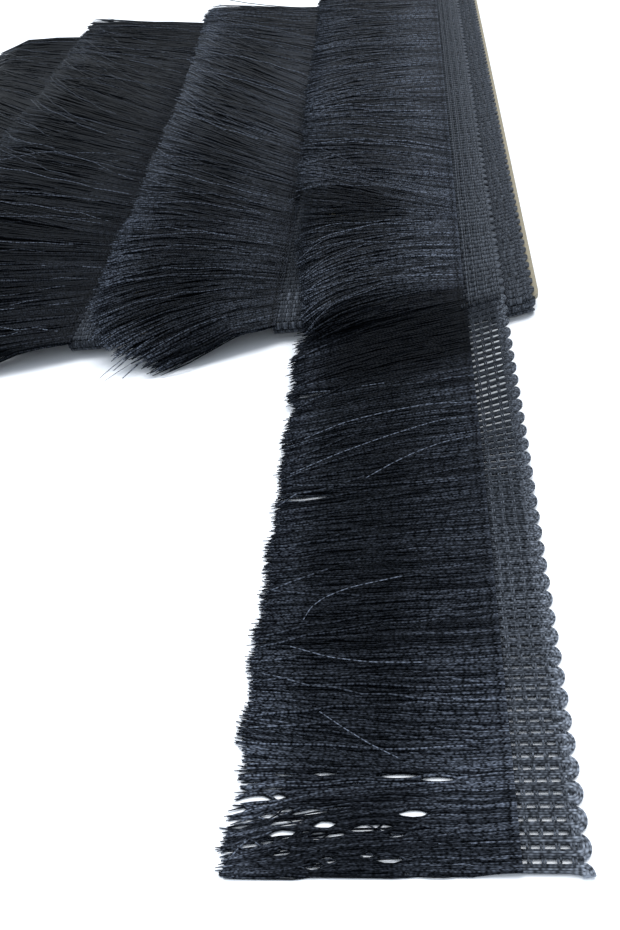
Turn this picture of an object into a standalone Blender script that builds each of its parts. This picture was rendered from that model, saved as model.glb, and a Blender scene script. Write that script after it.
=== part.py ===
"""Brush fringe trim wound side by side on a flat card, with its loose end laid out on the table.

The trim is a narrow warp-knitted header with a scalloped outer edge and a row of cut yarn along its
inner edge. It winds over the card's far and near edges in turns that step to the right. The last
turn lies on the one before it, and runs down off the card as the loose end. Every turn's fringe
points to -X. Locks of yarn stand apart along a narrow backing beside the header's inner edge.
"""

import math

import bmesh
import bpy
from mathutils import Vector

MM = 0.001

# Place of the loose end's outer corner in the object's frame, in millimetres. All other places
# below are measured from that corner, with Y running along the trim towards the card.
CORNER_X = 132.1
CORNER_Y = -243.5

# The trim
HEADER_WIDTH = 12.0
SHEET_THICKNESS = 1.3
BACKING_WIDTH = 3.0
FRINGE_LENGTH = 48.0
SCALLOP_PITCH = 4.6
SCALLOP_DEPTH = 1.6
SCALLOPS = 34
GAP = 0.3

# Outer edge of the header from one scallop's tip to the next, as shares of its depth
SCALLOP_SHAPE = (0.0, 0.2, 1.0, 0.2)

# The card
CARD_RIGHT = 8.8
CARD_LEFT = -246.0
CARD_NEAR = 161.3
CARD_FAR = 474.0
CARD_BOTTOM = 3.3
CARD_THICKNESS = 1.6
CARD_CORNER = 3.0

# The winding: middle of the header in each turn, and the heights of its layers' middles
TURN_X = (1.3, -61.0, -124.0, -187.0)
LAST_X = -6.7
FOLD_NEAR = 158.2
FOLD_FAR = 475.0
Z_TABLE = SHEET_THICKNESS / 2
Z_UNDER = 2.35
Z_TOP = 6.0
Z_LAST = 8.4
FOLD_SKEW = 3.5

# The loose end rises from the table to the last turn along this stretch
RAMP_START = 57.0
RAMP_END = SCALLOPS * SCALLOP_PITCH
LOOSE_FRINGE_END = 152.4
BEND_START = 95.0

# Locks of the fringe
LOOSE_LOCKS = 60
LAST_LOCKS = 44
TURN_LOCKS = (10, 44, 42, 40)
UNDER_LOCKS = 15
LOCK_GAP = 0.42
LOCK_TAPER = (0.93, 0.84, 0.7)
PUFF = (2.2, 3.2, 2.6)

# Sweep of the fringe along a turn: distance from the loose end's corner, angle towards +Y
LAST_SWEEP = ((156.0, -22.0), (200.0, 0.0), (300.0, 14.0), (380.0, 14.0), (475.0, 9.0))
TURN_SWEEP = ((156.0, -20.0), (168.0, -22.0), (182.0, -16.0), (200.0, -8.0), (225.0, 6.0), (260.0, 18.0),
              (310.0, 26.0), (380.0, 22.0), (475.0, 12.0))
OUTER_SWEEP = ((156.0, -9.0), (175.0, -10.0), (200.0, -6.0), (225.0, 5.0), (260.0, 18.0), (310.0, 26.0),
               (380.0, 22.0), (475.0, 12.0))
LOOSE_SWEEP = ((0.0, -2.0), (100.0, -3.0), (157.0, -8.0))

# Reach of the fringe from its backing, at the near edge and at the far edge of the card
LAST_REACH = (43.0, 57.0)
TURN_REACH = (None, (54.0, 70.0), (72.0, 79.0), (72.0, 76.0))
INNER_REACH = 35.0
UNDER_REACH = 41.5

# How the fringe lies on its turn: heights above its backing along a lock, and over the card's left edge
LAST_RISE = (1.0, 2.0, 2.6)
TURN_RISE = (1.4, 3.1, 4.4)
EDGE_RISE = (1.4, 2.2, -4.4)

# Locks that hang to the table at the near edge: their heights, reach, and how far along a turn they go
HANG_Z = (6.6, 3.4, 1.3)
HANG_REACH = 37.0
HANG_RUN = (None, 22.0, 7.0, 7.0)

YARN = (0.014, 0.015, 0.019, 1.0)
KRAFT = (0.50, 0.36, 0.21, 1.0)


def place(x, y, z):
    """Point of the object's frame, in metres, for millimetres from the loose end's corner."""
    return Vector(((x + CORNER_X) * MM, (y + CORNER_Y) * MM, z * MM))


def mix(a, b, share):
    return a + (b - a) * share


def clamp(value):
    return min(max(value, 0.0), 1.0)


def read(table, at):
    """Value of a table of (place, value) pairs, straight between its rows."""
    for (a, low), (b, high) in zip(table, table[1:]):
        if at <= b:
            return mix(low, high, clamp((at - a) / (b - a)))
    return table[-1][1]


def material(name, colour, roughness):
    mat = bpy.data.materials.new(name)
    mat.use_nodes = True
    shader = mat.node_tree.nodes["Principled BSDF"]
    shader.inputs["Base Color"].default_value = colour
    shader.inputs["Roughness"].default_value = roughness
    shader.inputs["Metallic"].default_value = 0.0
    return mat


def add_object(name, bm, collection, mat):
    bmesh.ops.recalc_face_normals(bm, faces=bm.faces)
    mesh = bpy.data.meshes.new(name)
    bm.to_mesh(mesh)
    bm.free()
    mesh.materials.append(mat)
    obj = bpy.data.objects.new(name, mesh)
    collection.objects.link(obj)
    return obj


def ring(centre_x, y, z, width, thickness, outer_trim=0.0):
    """Corners of the trim's section: outer top, outer bottom, inner bottom and inner top."""
    outer = centre_x + width / 2 - outer_trim
    inner = centre_x - width / 2
    top = z + thickness / 2
    bottom = z - thickness / 2
    return [place(outer, y, top), place(outer, y, bottom), place(inner, y, bottom), place(inner, y, top)]


def extrude_to(bm, face, old, new):
    """Extrude a face and move its corners from the old places to the new ones."""
    face = bmesh.ops.extrude_discrete_faces(bm, faces=[face])["faces"][0]
    for vert in face.verts:
        corner = min(range(4), key=lambda k: (vert.co - old[k]).length_squared)
        vert.co = new[corner]
    return face


def inner_side(end, corners):
    """Side face of a bar's last stretch that looks to -X."""
    inner = [min(end.verts, key=lambda v: (v.co - c).length_squared) for c in corners[2:]]
    edge = next(e for e in end.edges if set(e.verts) == set(inner))
    return next(f for f in edge.link_faces if f != end)


def sweep(bm, rings):
    """Closed bar through a list of sections. Returns its inner side faces, one a stretch."""
    for vert in bmesh.ops.create_cube(bm, size=1.0)["verts"]:
        outer, far, top = (c > 0 for c in vert.co)
        corner = (0 if top else 1) if outer else (3 if top else 2)
        vert.co = rings[int(far)][corner]
    bm.faces.ensure_lookup_table()
    second = {tuple(c) for c in rings[1]}
    end = next(f for f in bm.faces if all(tuple(v.co) in second for v in f.verts))
    sides = [inner_side(end, rings[1])]
    for old, new in zip(rings[1:], rings[2:]):
        end = extrude_to(bm, end, old, new)
        sides.append(inner_side(end, new))
    return sides


def comb(name, route, count, lock, collection, mat):
    """Backing bar along route(share) with separate locks of yarn, fused to it at their roots.

    route gives the x, y and z of the bar's middle, and lock gives the sections of one lock: its
    middle, its width along Y and its thickness.
    """
    length = route(1.0)[1] - route(0.0)[1]
    pitch = (length + LOCK_GAP) / count
    lock_width = pitch - LOCK_GAP
    ends = [(k * pitch / length, min((k * pitch + lock_width) / length, 1.0)) for k in range(count)]
    rings = [ring(*route(s), BACKING_WIDTH, SHEET_THICKNESS) for pair in ends for s in pair]
    bm = bmesh.new()
    sides = sweep(bm, rings)
    for index, (near, far) in enumerate(ends):
        old = [*rings[2 * index][2:], *rings[2 * index + 1][2:]]
        face = sides[2 * index]
        x, y, z = route((near + far) / 2)
        for (x_mid, y_mid, z_mid), width, thickness in lock(index, x - BACKING_WIDTH / 2, y, z, lock_width):
            new = [place(x_mid, y_mid + side * width / 2, z_mid + up * thickness / 2)
                   for side, up in ((-1, -1), (-1, 1), (1, -1), (1, 1))]
            face = extrude_to(bm, face, old, new)
            old = new
    return add_object(name, bm, collection, mat)


def ramp(y):
    """Height of the loose end's underside above the table."""
    share = clamp((y - RAMP_START) / (RAMP_END - RAMP_START))
    return (Z_LAST - Z_TABLE) * share ** 2


def ragged(index):
    """Uneven cut of the locks, in millimetres."""
    return 0.8 * math.sin(index * 2.4) + 0.5 * math.sin(index * 5.3 + 1.0)


def bend(y):
    """Sideways shift of the loose end, where it curves up to the last turn."""
    share = clamp((y - BEND_START) / (RAMP_END - BEND_START))
    return (LAST_X + HEADER_WIDTH / 2) * share * share * (3.0 - 2.0 * share)


def make_card(collection, mat):
    bm = bmesh.new()
    bmesh.ops.create_cube(bm, size=1.0)
    low = place(CARD_LEFT, CARD_NEAR, CARD_BOTTOM)
    high = place(CARD_RIGHT, CARD_FAR, CARD_BOTTOM + CARD_THICKNESS)
    bmesh.ops.scale(bm, vec=high - low, verts=bm.verts)
    bmesh.ops.translate(bm, vec=(low + high) / 2, verts=bm.verts)
    upright = [e for e in bm.edges if abs(e.verts[0].co.z - e.verts[1].co.z) > MM]
    bmesh.ops.bevel(bm, geom=upright, offset=CARD_CORNER * MM, offset_type="OFFSET", segments=4, profile=0.5,
                    affect="EDGES")
    return add_object("card", bm, collection, mat)


def make_loose_header(collection, mat):
    rings = []
    for k in range(SCALLOPS * len(SCALLOP_SHAPE) + 1):
        share = SCALLOP_SHAPE[k % len(SCALLOP_SHAPE)]
        y = k * SCALLOP_PITCH / len(SCALLOP_SHAPE)
        rings.append(ring(bend(y) - HEADER_WIDTH / 2, y, ramp(y) + Z_TABLE, HEADER_WIDTH, SHEET_THICKNESS,
                          share * SCALLOP_DEPTH))
    bm = bmesh.new()
    sweep(bm, rings)
    return add_object("header_loose_end", bm, collection, mat)


def fold(x, y, z_from, z_to, forward):
    """Middle line of the header round an edge of the card, without its first and last points."""
    radius = abs(z_to - z_from) / 2
    middle = (z_from + z_to) / 2
    points = []
    for k in range(1, 8):
        angle = math.pi * k / 8
        reach = forward * radius * math.sin(angle)
        points.append((x, y + reach, middle + (z_from - middle) * math.cos(angle)))
    return points


def run(x_from, y_from, x_to, y_to, z, stretches=4):
    points = []
    for k in range(stretches + 1):
        share = k / stretches
        points.append((mix(x_from, x_to, share), mix(y_from, y_to, share), z))
    return points


def wound_route():
    """Middle line of the header, from its hidden start to where the loose end leaves the card.

    Each point is its x, y and z, and how much further along Y the header's outer edge is there.
    """
    points = run(TURN_X[3], FOLD_FAR - 4, TURN_X[3], FOLD_NEAR, Z_TOP)
    for here, after in ((3, 2), (2, 1), (1, 0)):
        points += fold(TURN_X[here], FOLD_NEAR, Z_TOP, Z_UNDER, -1)
        points += run(TURN_X[here], FOLD_NEAR, TURN_X[after], FOLD_FAR, Z_UNDER)
        points += fold(TURN_X[after], FOLD_FAR, Z_UNDER, Z_TOP, 1)
        points += run(TURN_X[after], FOLD_FAR, TURN_X[after], FOLD_NEAR, Z_TOP)
    skewed = len(points) - 1
    points += fold(TURN_X[0], FOLD_NEAR, Z_TOP, Z_TABLE, -1)
    points += run(TURN_X[0], FOLD_NEAR, LAST_X, FOLD_FAR, Z_TABLE)
    straight = len(points) - 4
    points += fold(LAST_X, FOLD_FAR, Z_TABLE, Z_LAST, 1)
    points += run(LAST_X, FOLD_FAR, LAST_X, RAMP_END + GAP, Z_LAST)
    return [(*p, FOLD_SKEW if skewed <= k < straight else 0.0) for k, p in enumerate(points)]


def make_wound_header(collection, mat):
    """One band wound round the card. Its section turns with the route, with its width along X."""
    points = wound_route()
    rings = []
    for k, (x, y, z, skew) in enumerate(points):
        before = points[max(k - 1, 0)]
        after = points[min(k + 1, len(points) - 1)]
        along = Vector((0.0, after[1] - before[1], after[2] - before[2])).normalized()
        up = Vector((0.0, -along.z, along.y)) * (SHEET_THICKNESS / 2)
        outer = (x + HEADER_WIDTH / 2, y + skew)
        inner = (x - HEADER_WIDTH / 2, y)
        rings.append([place(side[0], side[1] + sign * up.y, z + sign * up.z)
                      for side, sign in ((outer, -1), (outer, 1), (inner, 1), (inner, -1))])
    bm = bmesh.new()
    sweep(bm, rings)
    return add_object("header_wound", bm, collection, mat)


def backing_x(header_x):
    return header_x - HEADER_WIDTH / 2 - GAP - BACKING_WIDTH / 2


def make_loose_fringe(collection, mat):
    def route(share):
        y = mix(0.0, LOOSE_FRINGE_END, share)
        return backing_x(bend(y) - HEADER_WIDTH / 2), y, ramp(y) + Z_TABLE

    def lock(index, x, y, z, width):
        reach = FRINGE_LENGTH - BACKING_WIDTH - GAP + ragged(index)
        slope = math.tan(math.radians(read(LOOSE_SWEEP, y)))
        for share, lift, thickness in ((0.35, 0.85, 1.3), (0.7, 0.65, 1.2), (1.0, 0.45, 1.0)):
            middle = (x - share * reach, y + share * reach * slope, ramp(y) * lift + thickness / 2)
            yield middle, width * mix(1.0, 0.9, share), thickness

    return comb("fringe_loose_end", route, LOOSE_LOCKS, lock, collection, mat)


def make_top_fringe(name, header_x, z, count, table, reach_ends, rise, hang_run, collection, mat):
    """Fringe of one turn over the card. Its locks within hang_run of the near edge hang to the table."""
    start = FOLD_NEAR - 2.5 if hang_run else RAMP_END + 2 * GAP

    def route(share):
        return backing_x(header_x), mix(start, FOLD_FAR - 3.0, share), z

    def lock(index, x, y, z, width):
        slope = math.tan(math.radians(read(table, y)))
        along = clamp((y - CARD_NEAR) / (CARD_FAR - CARD_NEAR))
        near = 1.0 - clamp((y - start - width / 2) / hang_run) if hang_run else 0.0
        hang = near * near * (3.0 - 2.0 * near)
        reach = mix(mix(*reach_ends, along), HANG_REACH, near) + ragged(index)
        for share, up, low, taper, puff in zip((0.35, 0.7, 1.0), rise, HANG_Z, LOCK_TAPER, PUFF):
            middle = (x - share * reach, y + share * reach * slope, mix(z + up, low, hang))
            yield middle, width * taper, mix(puff, 1.6, hang)

    return comb(name, route, count, lock, collection, mat)


def make_flat_fringe(name, x_near, x_far, z, y_far, count, reach, tip_z, collection, mat):
    """Fringe that lies flat, under the last turn or beneath the card."""
    def route(share):
        return backing_x(mix(x_near, x_far, share)), mix(CARD_NEAR, y_far, share), z

    def lock(index, x, y, z, width):
        for share, taper in zip((0.35, 0.7, 1.0), LOCK_TAPER):
            length = reach + ragged(index)
            yield (x - share * length, y, mix(z, tip_z, share)), width * taper, SHEET_THICKNESS

    return comb(name, route, count, lock, collection, mat)


def build():
    for obj in list(bpy.data.objects):
        bpy.data.objects.remove(obj, do_unlink=True)
    collection = bpy.data.collections.new("fringe_trim")
    bpy.context.scene.collection.children.link(collection)
    yarn = material("black_yarn", YARN, 0.62)
    knit = material("black_knit", YARN, 0.7)
    kraft = material("kraft_board", KRAFT, 0.85)

    make_card(collection, kraft)
    make_loose_header(collection, knit)
    make_wound_header(collection, knit)
    make_loose_fringe(collection, yarn)
    make_top_fringe("fringe_top_1", LAST_X, Z_LAST, LAST_LOCKS, LAST_SWEEP, LAST_REACH, LAST_RISE, 0.0,
                    collection, yarn)
    styles = ((1, TURN_SWEEP, TURN_RISE), (2, OUTER_SWEEP, TURN_RISE), (3, OUTER_SWEEP, EDGE_RISE))
    for turn, table, rise in styles:
        make_top_fringe(f"fringe_top_{turn + 1}", TURN_X[turn], Z_TOP, TURN_LOCKS[turn], table,
                        TURN_REACH[turn], rise, HANG_RUN[turn], collection, yarn)
    make_flat_fringe("fringe_inner", TURN_X[0], TURN_X[0], Z_TOP, FOLD_FAR - 3.0, TURN_LOCKS[0],
                     INNER_REACH, Z_TOP, collection, yarn)
    for turn in (3, 2):
        make_flat_fringe(f"fringe_under_{turn + 1}", TURN_X[turn], TURN_X[turn - 1], Z_UNDER, CARD_FAR,
                         UNDER_LOCKS, UNDER_REACH, Z_TABLE, collection, yarn)
    make_flat_fringe("fringe_under_2", TURN_X[1], TURN_X[0], Z_UNDER, CARD_FAR, UNDER_LOCKS,
                     UNDER_REACH, Z_UNDER, collection, yarn)
    make_flat_fringe("fringe_under_1", TURN_X[0], LAST_X, Z_TABLE, CARD_FAR, UNDER_LOCKS,
                     UNDER_REACH, Z_TABLE, collection, yarn)


build()
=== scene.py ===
"""A brush fringe trim, wound on its card with its loose end laid out on the table.

Places are in millimetres from the outer corner of the loose end's cut, with Y along the trim and
Z up. Each yarn is a closed tube. Its points carry "tone", how light the yarn is, with painted
light and shade, and "run", the angle of its plies.
"""
import math

import bpy
import numpy as np
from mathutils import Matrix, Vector


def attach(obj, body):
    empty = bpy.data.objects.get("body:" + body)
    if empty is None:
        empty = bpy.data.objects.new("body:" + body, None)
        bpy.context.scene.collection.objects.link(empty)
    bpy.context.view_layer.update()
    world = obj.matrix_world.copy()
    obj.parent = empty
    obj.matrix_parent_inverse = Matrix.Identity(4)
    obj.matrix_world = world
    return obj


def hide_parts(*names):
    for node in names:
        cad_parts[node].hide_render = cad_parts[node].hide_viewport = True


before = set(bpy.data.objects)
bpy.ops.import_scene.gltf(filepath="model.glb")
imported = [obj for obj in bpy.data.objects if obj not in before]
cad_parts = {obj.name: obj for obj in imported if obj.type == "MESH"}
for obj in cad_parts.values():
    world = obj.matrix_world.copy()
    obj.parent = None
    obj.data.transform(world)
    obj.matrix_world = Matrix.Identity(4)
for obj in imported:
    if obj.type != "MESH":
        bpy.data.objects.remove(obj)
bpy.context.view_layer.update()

# Where the places start, in the frame
CORNER = (132.1, -243.5, 0.0)
MM = 0.001

# Camera: its place from the same corner, and its turn in degrees
PHOTO_HEIGHT_PX = 930
FOCAL_PX = 900.0
SENSOR = 36.0
CAMERA_AT = (-18.1, -64.1, 144.5)
CAMERA_TURN = (48.79, 8.55, 4.50)

# The header: half its width, the distance between scallops and between rows, and how many
# scallops its loose end has
HALF_WIDTH = 6.0
PITCH = 4.6
ROW = PITCH / 2
SCALLOPS = 34

# The winding: X of each turn's header, Y of the folds and of the fringe's ends, and the heights
# of the header's middle. The last turn lies on the one at TURN_X[0]
TURN_X = (1.7, -61.0, -124.0, -187.0)
LAST_X = -6.7
FOLD_NEAR = 158.2
FOLD_FAR = 475.0
FRINGE_NEAR = 161.3
FRINGE_FAR = 474.0
Z_TABLE = 0.65
Z_UNDER = 2.35
Z_TOP = 6.0
Z_LAST = 8.4

# The loose end: its middle's height above its underside, where it rises from the table to the
# last turn, and where it starts to curve sideways to it
Z_KNIT = 0.5
RAMP_START = 57.0
RAMP_END = 156.4
BEND_START = 95.0

# Header: distance of each wale from its middle. By place along Y: the width of the slits between
# its rows, and how far the rows slant
WALES = (-6.0, -3.9, -1.75, 0.65, 2.95, 4.0)
SLITS = (
    (0.0, 0.64), (36.0, 0.60), (46.0, 0.46), (54.0, 0.28), (60.0, 0.10), (80.0, 0.10),
    (90.0, 0.34), (104.0, 0.54), (118.0, 0.90), (146.0, 0.90), (152.0, 0.4), (156.4, 0.2),
    (165.0, 0.2),
)
SKEW = (
    (0.0, 0.0), (85.0, 0.04), (98.0, 0.10), (110.0, 0.24), (120.0, 0.33), (160.0, 0.33),
    (185.0, 0.12), (220.0, 0.0),
)

# Sweep of the fringe towards +Y, in degrees: place along Y, at the root, at the tip
LOOSE_SWEEP = (
    (0.0, 0.0, -2.0), (4.0, 0.0, -8.0), (12.0, 0.0, -13.0), (15.0, 0.0, -6.0), (18.0, 0.0, 10.0),
    (28.0, 0.0, 14.0), (38.0, -1.0, 4.0), (55.0, -2.0, 0.0), (85.0, -4.0, -2.0),
    (120.0, -6.0, -6.0), (140.0, -9.0, -10.0), (150.0, -10.0, -12.0), (157.0, -9.0, -9.0),
)
LAST_SWEEP = (
    (156.0, -10.0, -16.0), (163.0, -8.0, -24.0), (167.0, 0.0, -56.0), (174.0, -4.0, -60.0),
    (182.0, -3.0, -54.0), (196.0, 1.0, -42.0), (204.0, 3.0, -16.0), (209.0, 15.0, 10.0),
    (214.0, 26.0, 34.0), (222.0, 20.0, 20.0), (232.0, 14.0, 8.0), (250.0, 22.0, -2.0),
    (272.0, 24.0, 4.0), (290.0, 8.0, -2.0), (320.0, 2.0, -26.0), (355.0, -2.0, -28.0),
    (400.0, 0.0, -10.0), (475.0, 4.0, 6.0),
)
TURN_SWEEP = (
    (156.0, -24.0, -14.0), (164.0, -18.0, -28.0), (170.0, -14.0, -40.0), (178.0, 2.0, -40.0),
    (187.0, 18.0, -30.0), (200.0, 20.0, -4.0), (210.0, 20.0, 14.0), (222.0, 22.0, 22.0),
    (235.0, 31.0, 31.0), (260.0, 37.0, 40.0), (300.0, 45.0, 48.0), (350.0, 47.0, 48.0),
    (420.0, 28.0, 28.0), (475.0, 12.0, 10.0),
)
OUTER_SWEEP = (
    (156.0, -12.0, -14.0), (180.0, -10.0, -12.0), (200.0, 0.0, -4.0), (225.0, 16.0, 20.0),
    (260.0, 26.0, 28.0), (300.0, 32.0, 34.0), (350.0, 42.0, 44.0), (420.0, 26.0, 26.0),
    (475.0, 12.0, 10.0),
)
UNSWEPT = ((0.0, 0.0, 0.0),)

# Reach of the fringe along X, past the length at its root: place along Y, reach
ROOT_LENGTH = 3.6
LAST_REACH = (
    (156.0, 40.0), (172.0, 41.0), (190.0, 43.0), (204.0, 46.5), (220.0, 49.5), (250.0, 51.0),
    (300.0, 51.8), (400.0, 55.5), (FRINGE_FAR, 58.6),
)
TURN_REACH = ((FRINGE_NEAR, 54.0), (FRINGE_FAR, 70.0))
THIRD_REACH = ((FRINGE_NEAR, 72.0), (FRINGE_FAR, 79.0))
FOURTH_REACH = ((FRINGE_NEAR, 72.0), (FRINGE_FAR, 76.0))

RNG = np.random.default_rng(11)


def read(table, at):
    """Values at places, between the rows of a table of place and value."""
    places, values = zip(*table)
    return np.interp(at, places, values)


def shifted(table, start):
    return [(start + place, value) for place, value in table]


def smooth(share):
    share = np.clip(share, 0.0, 1.0)
    return share * share * (3.0 - 2.0 * share)


def ramp(y):
    """Height of the loose end's underside above the table."""
    share = np.clip((y - RAMP_START) / (RAMP_END - RAMP_START), 0.0, 1.0)
    return (Z_LAST - Z_TABLE) * share ** 2


def bend(y):
    """Sideways shift of the loose end, where it curves up to the last turn."""
    return (LAST_X + HALF_WIDTH) * smooth((y - BEND_START) / (RAMP_END - BEND_START))


# ------------------------------------------------------------------ materials

# Rate of the kinks beside that of the plies, and the most that both add up to
KINK_RATE = 0.37
PLIES_AND_KINKS = 1.6
BUMP_DEPTH = 0.0002
BLUE_GLOSS = (0.68, 0.82, 1.0, 1.0)
BLUE_SHEEN = (0.75, 0.82, 1.0, 1.0)
SHEEN_ROUGHNESS = 0.4
FIBRE_SCALE = 900.0
FIBRE_DETAIL = 3.0
FIBRE_BUMP = 0.3


def principled(name, roughness):
    mat = bpy.data.materials.new(name)
    mat.use_nodes = True
    shader = mat.node_tree.nodes["Principled BSDF"]
    shader.inputs["Roughness"].default_value = roughness
    return mat, mat.node_tree, shader


def attribute(tree, name):
    node = tree.nodes.new("ShaderNodeAttribute")
    node.attribute_name = name
    return node.outputs["Fac"]


def sine(tree, angle):
    node = tree.nodes.new("ShaderNodeMath")
    node.operation = "SINE"
    tree.links.new(angle, node.inputs[0])
    return node.outputs[0]


def colours(tree, value, dark, light):
    """Colour between dark and light, by a value from 0 to 1."""
    node = tree.nodes.new("ShaderNodeValToRGB")
    node.color_ramp.elements[0].color = (*dark, 1.0)
    node.color_ramp.elements[1].color = (*light, 1.0)
    tree.links.new(value, node.inputs["Fac"])
    return node.outputs["Color"]


def add_bump(tree, shader, height, strength):
    bump = tree.nodes.new("ShaderNodeBump")
    bump.inputs["Strength"].default_value = strength
    bump.inputs["Distance"].default_value = BUMP_DEPTH
    tree.links.new(height, bump.inputs["Height"])
    tree.links.new(bump.outputs["Normal"], shader.inputs["Normal"])


def yarn_material(name, dark, light, roughness, gloss, glints_and_relief, sheen):
    """Twisted black yarn, with a tone that differs from thread to thread.

    glints_and_relief is how much plies and kinks, which come at an uneven beat, lighten and darken
    it with painted glints, and half of it is the strength of their bump.
    """
    mat, tree, shader = principled(name, roughness)
    new, link = tree.nodes.new, tree.links.new
    thread_colour = colours(tree, attribute(tree, "tone"), dark, light)
    run = attribute(tree, "run")
    slower = new("ShaderNodeMath")
    slower.operation = "MULTIPLY"
    slower.inputs[1].default_value = KINK_RATE
    link(run, slower.inputs[0])
    plies = sine(tree, run)
    kinks = sine(tree, slower.outputs[0])
    both = new("ShaderNodeMath")
    link(plies, both.inputs[0])
    link(kinks, both.inputs[1])
    ply_glints = new("ShaderNodeMapRange")
    ply_glints.inputs["From Min"].default_value = -PLIES_AND_KINKS
    ply_glints.inputs["From Max"].default_value = PLIES_AND_KINKS
    ply_glints.inputs["To Min"].default_value = 1.0 - glints_and_relief
    ply_glints.inputs["To Max"].default_value = 1.0 + glints_and_relief
    link(both.outputs[0], ply_glints.inputs["Value"])
    # Painted glints: the plies and kinks lighten and darken the yarn's colour along its length
    tint = new("ShaderNodeMix")
    tint.data_type = "RGBA"
    tint.blend_type = "MULTIPLY"
    tint.inputs["Factor"].default_value = 1.0
    link(thread_colour, tint.inputs["A"])
    link(ply_glints.outputs["Result"], tint.inputs["B"])
    link(tint.outputs["Result"], shader.inputs["Base Color"])
    add_bump(tree, shader, plies, glints_and_relief / 2)
    shader.inputs["Specular IOR Level"].default_value = gloss
    shader.inputs["Specular Tint"].default_value = BLUE_GLOSS
    shader.inputs["Sheen Weight"].default_value = sheen
    shader.inputs["Sheen Roughness"].default_value = SHEEN_ROUGHNESS
    shader.inputs["Sheen Tint"].default_value = BLUE_SHEEN
    return mat


def board_material(name, dark, light, roughness):
    """Kraft board with short fibres and a slightly uneven tone."""
    mat, tree, shader = principled(name, roughness)
    place = tree.nodes.new("ShaderNodeTexCoord")
    fibre = tree.nodes.new("ShaderNodeTexNoise")
    fibre.inputs["Scale"].default_value = FIBRE_SCALE
    fibre.inputs["Detail"].default_value = FIBRE_DETAIL
    tree.links.new(place.outputs["Object"], fibre.inputs["Vector"])
    board_colour = colours(tree, fibre.outputs["Fac"], dark, light)
    tree.links.new(board_colour, shader.inputs["Base Color"])
    add_bump(tree, shader, fibre.outputs["Fac"], FIBRE_BUMP)
    return mat


YARN = yarn_material("yarn_fringe", dark=(0.0006, 0.0008, 0.0014), light=(0.084, 0.098, 0.128),
                     roughness=0.30, gloss=0.06, glints_and_relief=0.9, sheen=0.0)
KNIT = yarn_material("yarn_knit", dark=(0.004, 0.005, 0.007), light=(0.134, 0.150, 0.180),
                     roughness=0.60, gloss=0.15, glints_and_relief=0.8, sheen=0.02)
BOARD = board_material("kraft_board_fibre", dark=(0.165, 0.145, 0.10), light=(0.27, 0.24, 0.175),
                       roughness=0.85)


# ------------------------------------------------------------------ yarn meshes

TINY = 1e-9
ANY_PHASE = (0.0, 6.28)
PLY_RATE = (4.5, 8.5)
DARK_BIAS = 2.2


def add_mesh(name, verts, quads, caps, tone, run, mat):
    mesh = bpy.data.meshes.new(name)
    loops = np.concatenate([quads.ravel(), *(c.ravel() for c in caps)]).astype(np.int32)
    sizes = np.concatenate([np.full(len(quads), 4), *(np.full(len(c), c.shape[1]) for c in caps)])
    starts = np.concatenate([[0], np.cumsum(sizes)[:-1]]).astype(np.int32)
    in_frame = (verts + np.array(CORNER)) * MM
    mesh.vertices.add(len(verts))
    mesh.vertices.foreach_set("co", in_frame.astype(np.float32).ravel())
    mesh.loops.add(len(loops))
    mesh.loops.foreach_set("vertex_index", loops)
    mesh.polygons.add(len(starts))
    mesh.polygons.foreach_set("loop_start", starts)
    mesh.polygons.foreach_set("use_smooth", np.ones(len(starts), dtype=bool))
    mesh.update(calc_edges=True)
    for key, values in (("tone", tone), ("run", run)):
        layer = mesh.attributes.new(key, "FLOAT", "POINT")
        layer.data.foreach_set("value", values.astype(np.float32))
    mesh.materials.append(mat)
    obj = bpy.data.objects.new(name, mesh)
    bpy.context.scene.collection.objects.link(obj)
    return obj


def rings(paths, radii, sides, flatten):
    """Points round each path, as (n, k, sides, 3)."""
    tangent = np.gradient(paths, axis=1)
    tangent /= np.linalg.norm(tangent, axis=2, keepdims=True) + TINY
    across = np.cross(tangent, (0.0, 0.0, 1.0))
    across /= np.linalg.norm(across, axis=2, keepdims=True) + TINY
    upward = np.cross(across, tangent)
    angle = np.arange(sides) * 2.0 * math.pi / sides + math.pi / sides
    radii = radii[:, :, None, None]
    cosines = np.cos(angle)[None, None, :, None]
    sines = np.sin(angle)[None, None, :, None]
    return (paths[:, :, None, :]
            + radii * flatten[0] * cosines * across[:, :, None, :]
            + radii * flatten[1] * sines * upward[:, :, None, :])


def plies_along(paths):
    """Angle of the plies at each point, at a rate of each yarn's own."""
    n = len(paths)
    step = np.linalg.norm(np.diff(paths, axis=1), axis=2)
    run = np.concatenate([np.zeros((n, 1)), np.cumsum(step, axis=1)], axis=1)
    return run * RNG.uniform(*PLY_RATE, (n, 1)) + RNG.uniform(*ANY_PHASE, (n, 1))


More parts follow.
